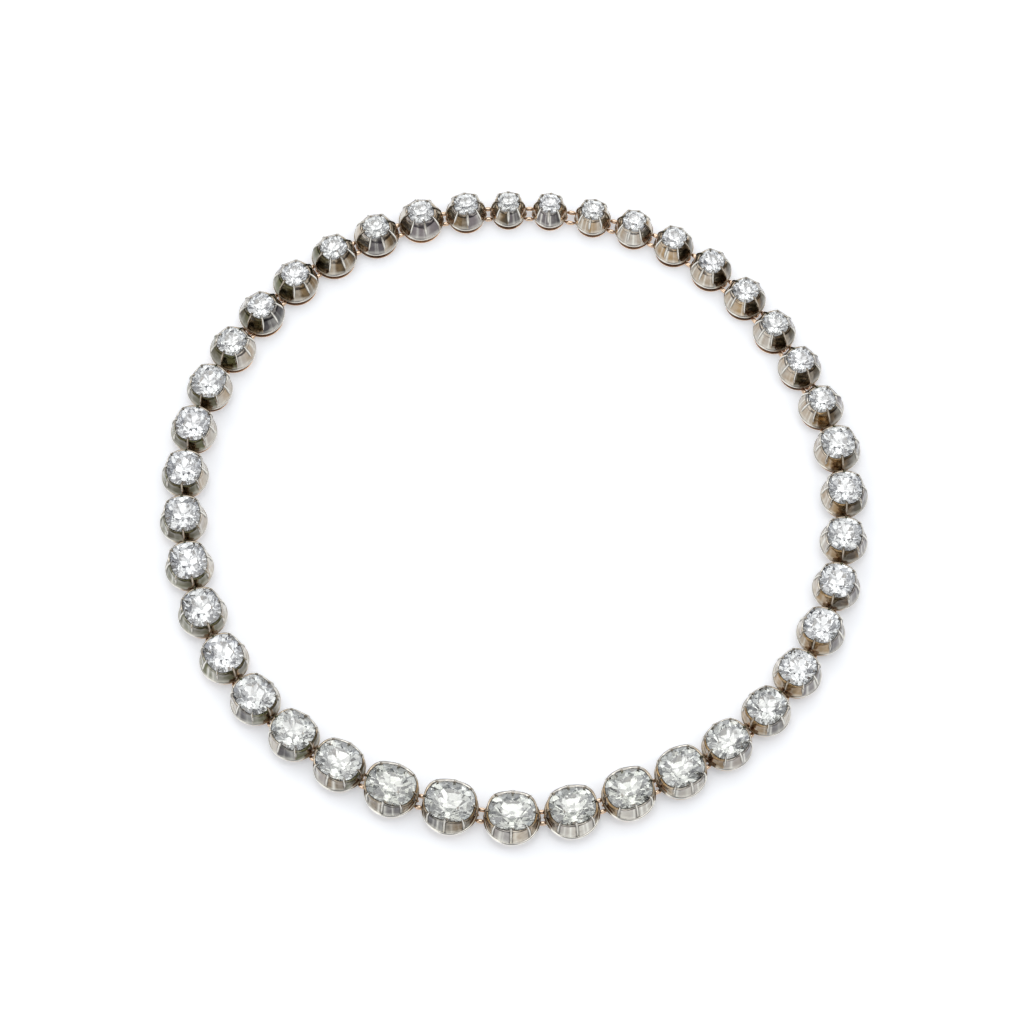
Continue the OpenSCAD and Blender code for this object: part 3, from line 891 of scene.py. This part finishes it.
def eyePaths(one):
    paths = []
    radius, leg = eyeSet["radius"], eyeSet["leg"]
    for way, tilt in ((one["toNext"], eyeSet["tilt"]), (one["toBefore"], -eyeSet["tilt"])):
        ct, st = math.cos(math.radians(tilt)), math.sin(math.radians(tilt))
        flat = [(-eyeSet["root"], -radius), (leg / 2, -radius)]
        for k in range(eyeSet["steps"] + 1):
            d = math.radians(-90 + 180 * k / eyeSet["steps"])
            flat.append((leg + radius * math.cos(d), radius * math.sin(d)))
        flat += [(leg / 2, radius), (-eyeSet["root"], radius)]
        side = np.array([-way[1], way[0]])
        outward = (*(-side * st), ct)
        paths.append([((*(one["at"] + way * (one["footR"] + x) + side * y * ct), eyeSet["z"] + y * st),
                       eyeSet["wire"], outward) for x, y in flat])
    return paths


ribTree = sweepTree("ribs", True)
wireTree = sweepTree("wires", False)


# the ribs: painted shade and grime beside the links, painted shade on the claws' far side, rubbed bright with
# a painted highlight along their crests (fading low down on all but the front settings), painted shade down
# their sides
def ribMarks(one, p, lift):
    out = p[:, :2] - one["at"]
    out /= np.linalg.norm(out, axis=1)[:, None]
    linkShadeAndGrime = smoothStep(0.80, 0.96, facesLink(one, out[:, 0], out[:, 1]))
    claw = smoothStep(placeSet["girdleZ"] + 0.1, placeSet["girdleZ"] + 0.5, p[:, 2])
    farClaw = claw * smoothStep(-0.1, 0.7, out[:, 1])
    rubbedAndLit = 1 - (1 - one["front"]) * smoothStep(4.4, 2.8, p[:, 2])
    return {"shade": 0.25 + 0.5 * linkShadeAndGrime + 0.45 * farClaw,
            "hue": 0.35 + 0.35 * linkShadeAndGrime + 0.35 * farClaw,
            "edge": smoothStep(0.30, 0.75, lift) * (1 - 0.8 * linkShadeAndGrime) * (1 - 0.9 * farClaw) * rubbedAndLit,
            "recess": smoothStep(0.35, 0.0, lift) * 0.85}


def makeSetting(i, one):
    dice = random.Random(settingSet["seed"] + i)
    points, faces, kinds, marks = ringWall(one, dice)
    points = list(points)
    marks = {label: list(values) for label, values in marks.items()}
    for tree, paths, kind, sizes in (
            (ribTree, ribPaths(one), 0, {"Flute": ribSet["flute"], "Height share": ribSet["height"]}),
            (wireTree, eyePaths(one), 1, {"Sides": eyeSet["sides"]})):
        p, f, lift, _ = sweptMesh(tree, paths, silver, **sizes)
        faces += [tuple(len(points) + v for v in face) for face in f]
        kinds += [kind] * len(f)
        points += list(p)
        if kind == 0:
            more = ribMarks(one, p, lift)
        else:
            more = {"shade": 0.2, "hue": 0.6, "edge": 0.25, "recess": 0.3}
        for label, values in more.items():
            marks[label] += list(np.broadcast_to(values, len(p)))
    piece = newPiece(f"setting_{i + 1:02d}", points, faces, [silver, gold], kinds, sharp=32, marks=marks)
    handOver(piece, one["name"])


for i, one in enumerate(row):
    makeSetting(i, one)
print("settings made")

linkSet = {
    "wire": 0.2,
    "rail": 0.44,  # the rails are thicker than the end bars
    "width": 2.3,
    "gap": 0.16,
    "z": 1.0,
    "square": 4,
    "steps": 40,
    "sides": 12,
    # half of the clasp's barrel: along from its middle, radius
    "barrel": ((0.20, 0.34), (0.22, 0.30), (0.27, 0.30), (0.29, 0.34), (0.36, 0.34), (0.42, 0.30),
               (0.45, 0.22), (0.46, 0.02)),
    "barrelSides": 20,
}


# a point of the space between a setting and the next: along from its middle, and to the side
def between(one, along, side):
    way = one["toNext"]
    p = one["at"] + way * (one["footR"] + one["clear"] / 2 + along) + np.array([-way[1], way[0]]) * side
    return (*p, linkSet["z"])


def linkPath(one):
    halfL = one["clear"] / 2 - linkSet["gap"] - linkSet["wire"] + 0.02
    n, path = linkSet["square"], []
    for k in range(linkSet["steps"]):
        t = 2 * math.pi * k / linkSet["steps"]
        reach = (abs(math.cos(t) / halfL) ** n + abs(math.sin(t) / (linkSet["width"] / 2)) ** n) ** (-1 / n)
        thick = float(smoothStep(0.75, 0.97, abs(math.sin(t))))
        width = linkSet["wire"] + (linkSet["rail"] - linkSet["wire"]) * thick
        path.append((between(one, reach * math.cos(t), reach * math.sin(t)), width, (0, 0, 1)))
    return path


# the links: painted shade under the wire and on the end bars under the rims, painted highlight along its top
def linkMarks(nearest, lift):
    t = 2 * math.pi * (nearest % linkSet["steps"]) / linkSet["steps"]
    bar = smoothStep(0.35, 0.8, np.abs(np.cos(t)))
    return {"recess": 0.45 * bar + 0.5 * smoothStep(0.4, -0.4, lift),
            "edge": 0.7 * smoothStep(0.6, 1.0, lift)}


def makeLinks():
    last = row[len(row) // 2]  # the clasp follows this setting
    paths = [linkPath(one) for one in row if one is not last]
    p, f, lift, nearest = sweptMesh(wireTree, paths, gold, closed=True, Sides=linkSet["sides"])
    links = newPiece("wire_links", p, f, [gold], sharp=40, marks=linkMarks(nearest, lift))
    handOver(links, "links")
    p, f, lift, nearest = sweptMesh(wireTree, [linkPath(last)], gold, closed=True, Sides=linkSet["sides"])
    outline = [(-x, r) for x, r in linkSet["barrel"][::-1]] + list(linkSet["barrel"])
    barrel = [(between(last, x, linkSet["width"] / 2), r, (0, 0, 1)) for x, r in outline]
    p2, f2, lift2, _ = sweptMesh(wireTree, [barrel], gold, Sides=linkSet["barrelSides"])
    faces = list(f) + [tuple(len(p) + v for v in face) for face in f2]
    marks = linkMarks(nearest, lift)
    # the clasp's barrel: painted shade underneath, painted highlight on top
    marks["recess"] = np.append(marks["recess"], 0.1 + 0.5 * smoothStep(0.3, -0.8, lift2))
    marks["edge"] = np.append(marks["edge"], 0.4 * smoothStep(0.5, 1.0, lift2))
    clasp = newPiece("clasp_link", list(p) + list(p2), faces, [gold], sharp=40, marks=marks)
    handOver(clasp, "clasp")


makeLinks()
print("links and clasp made")
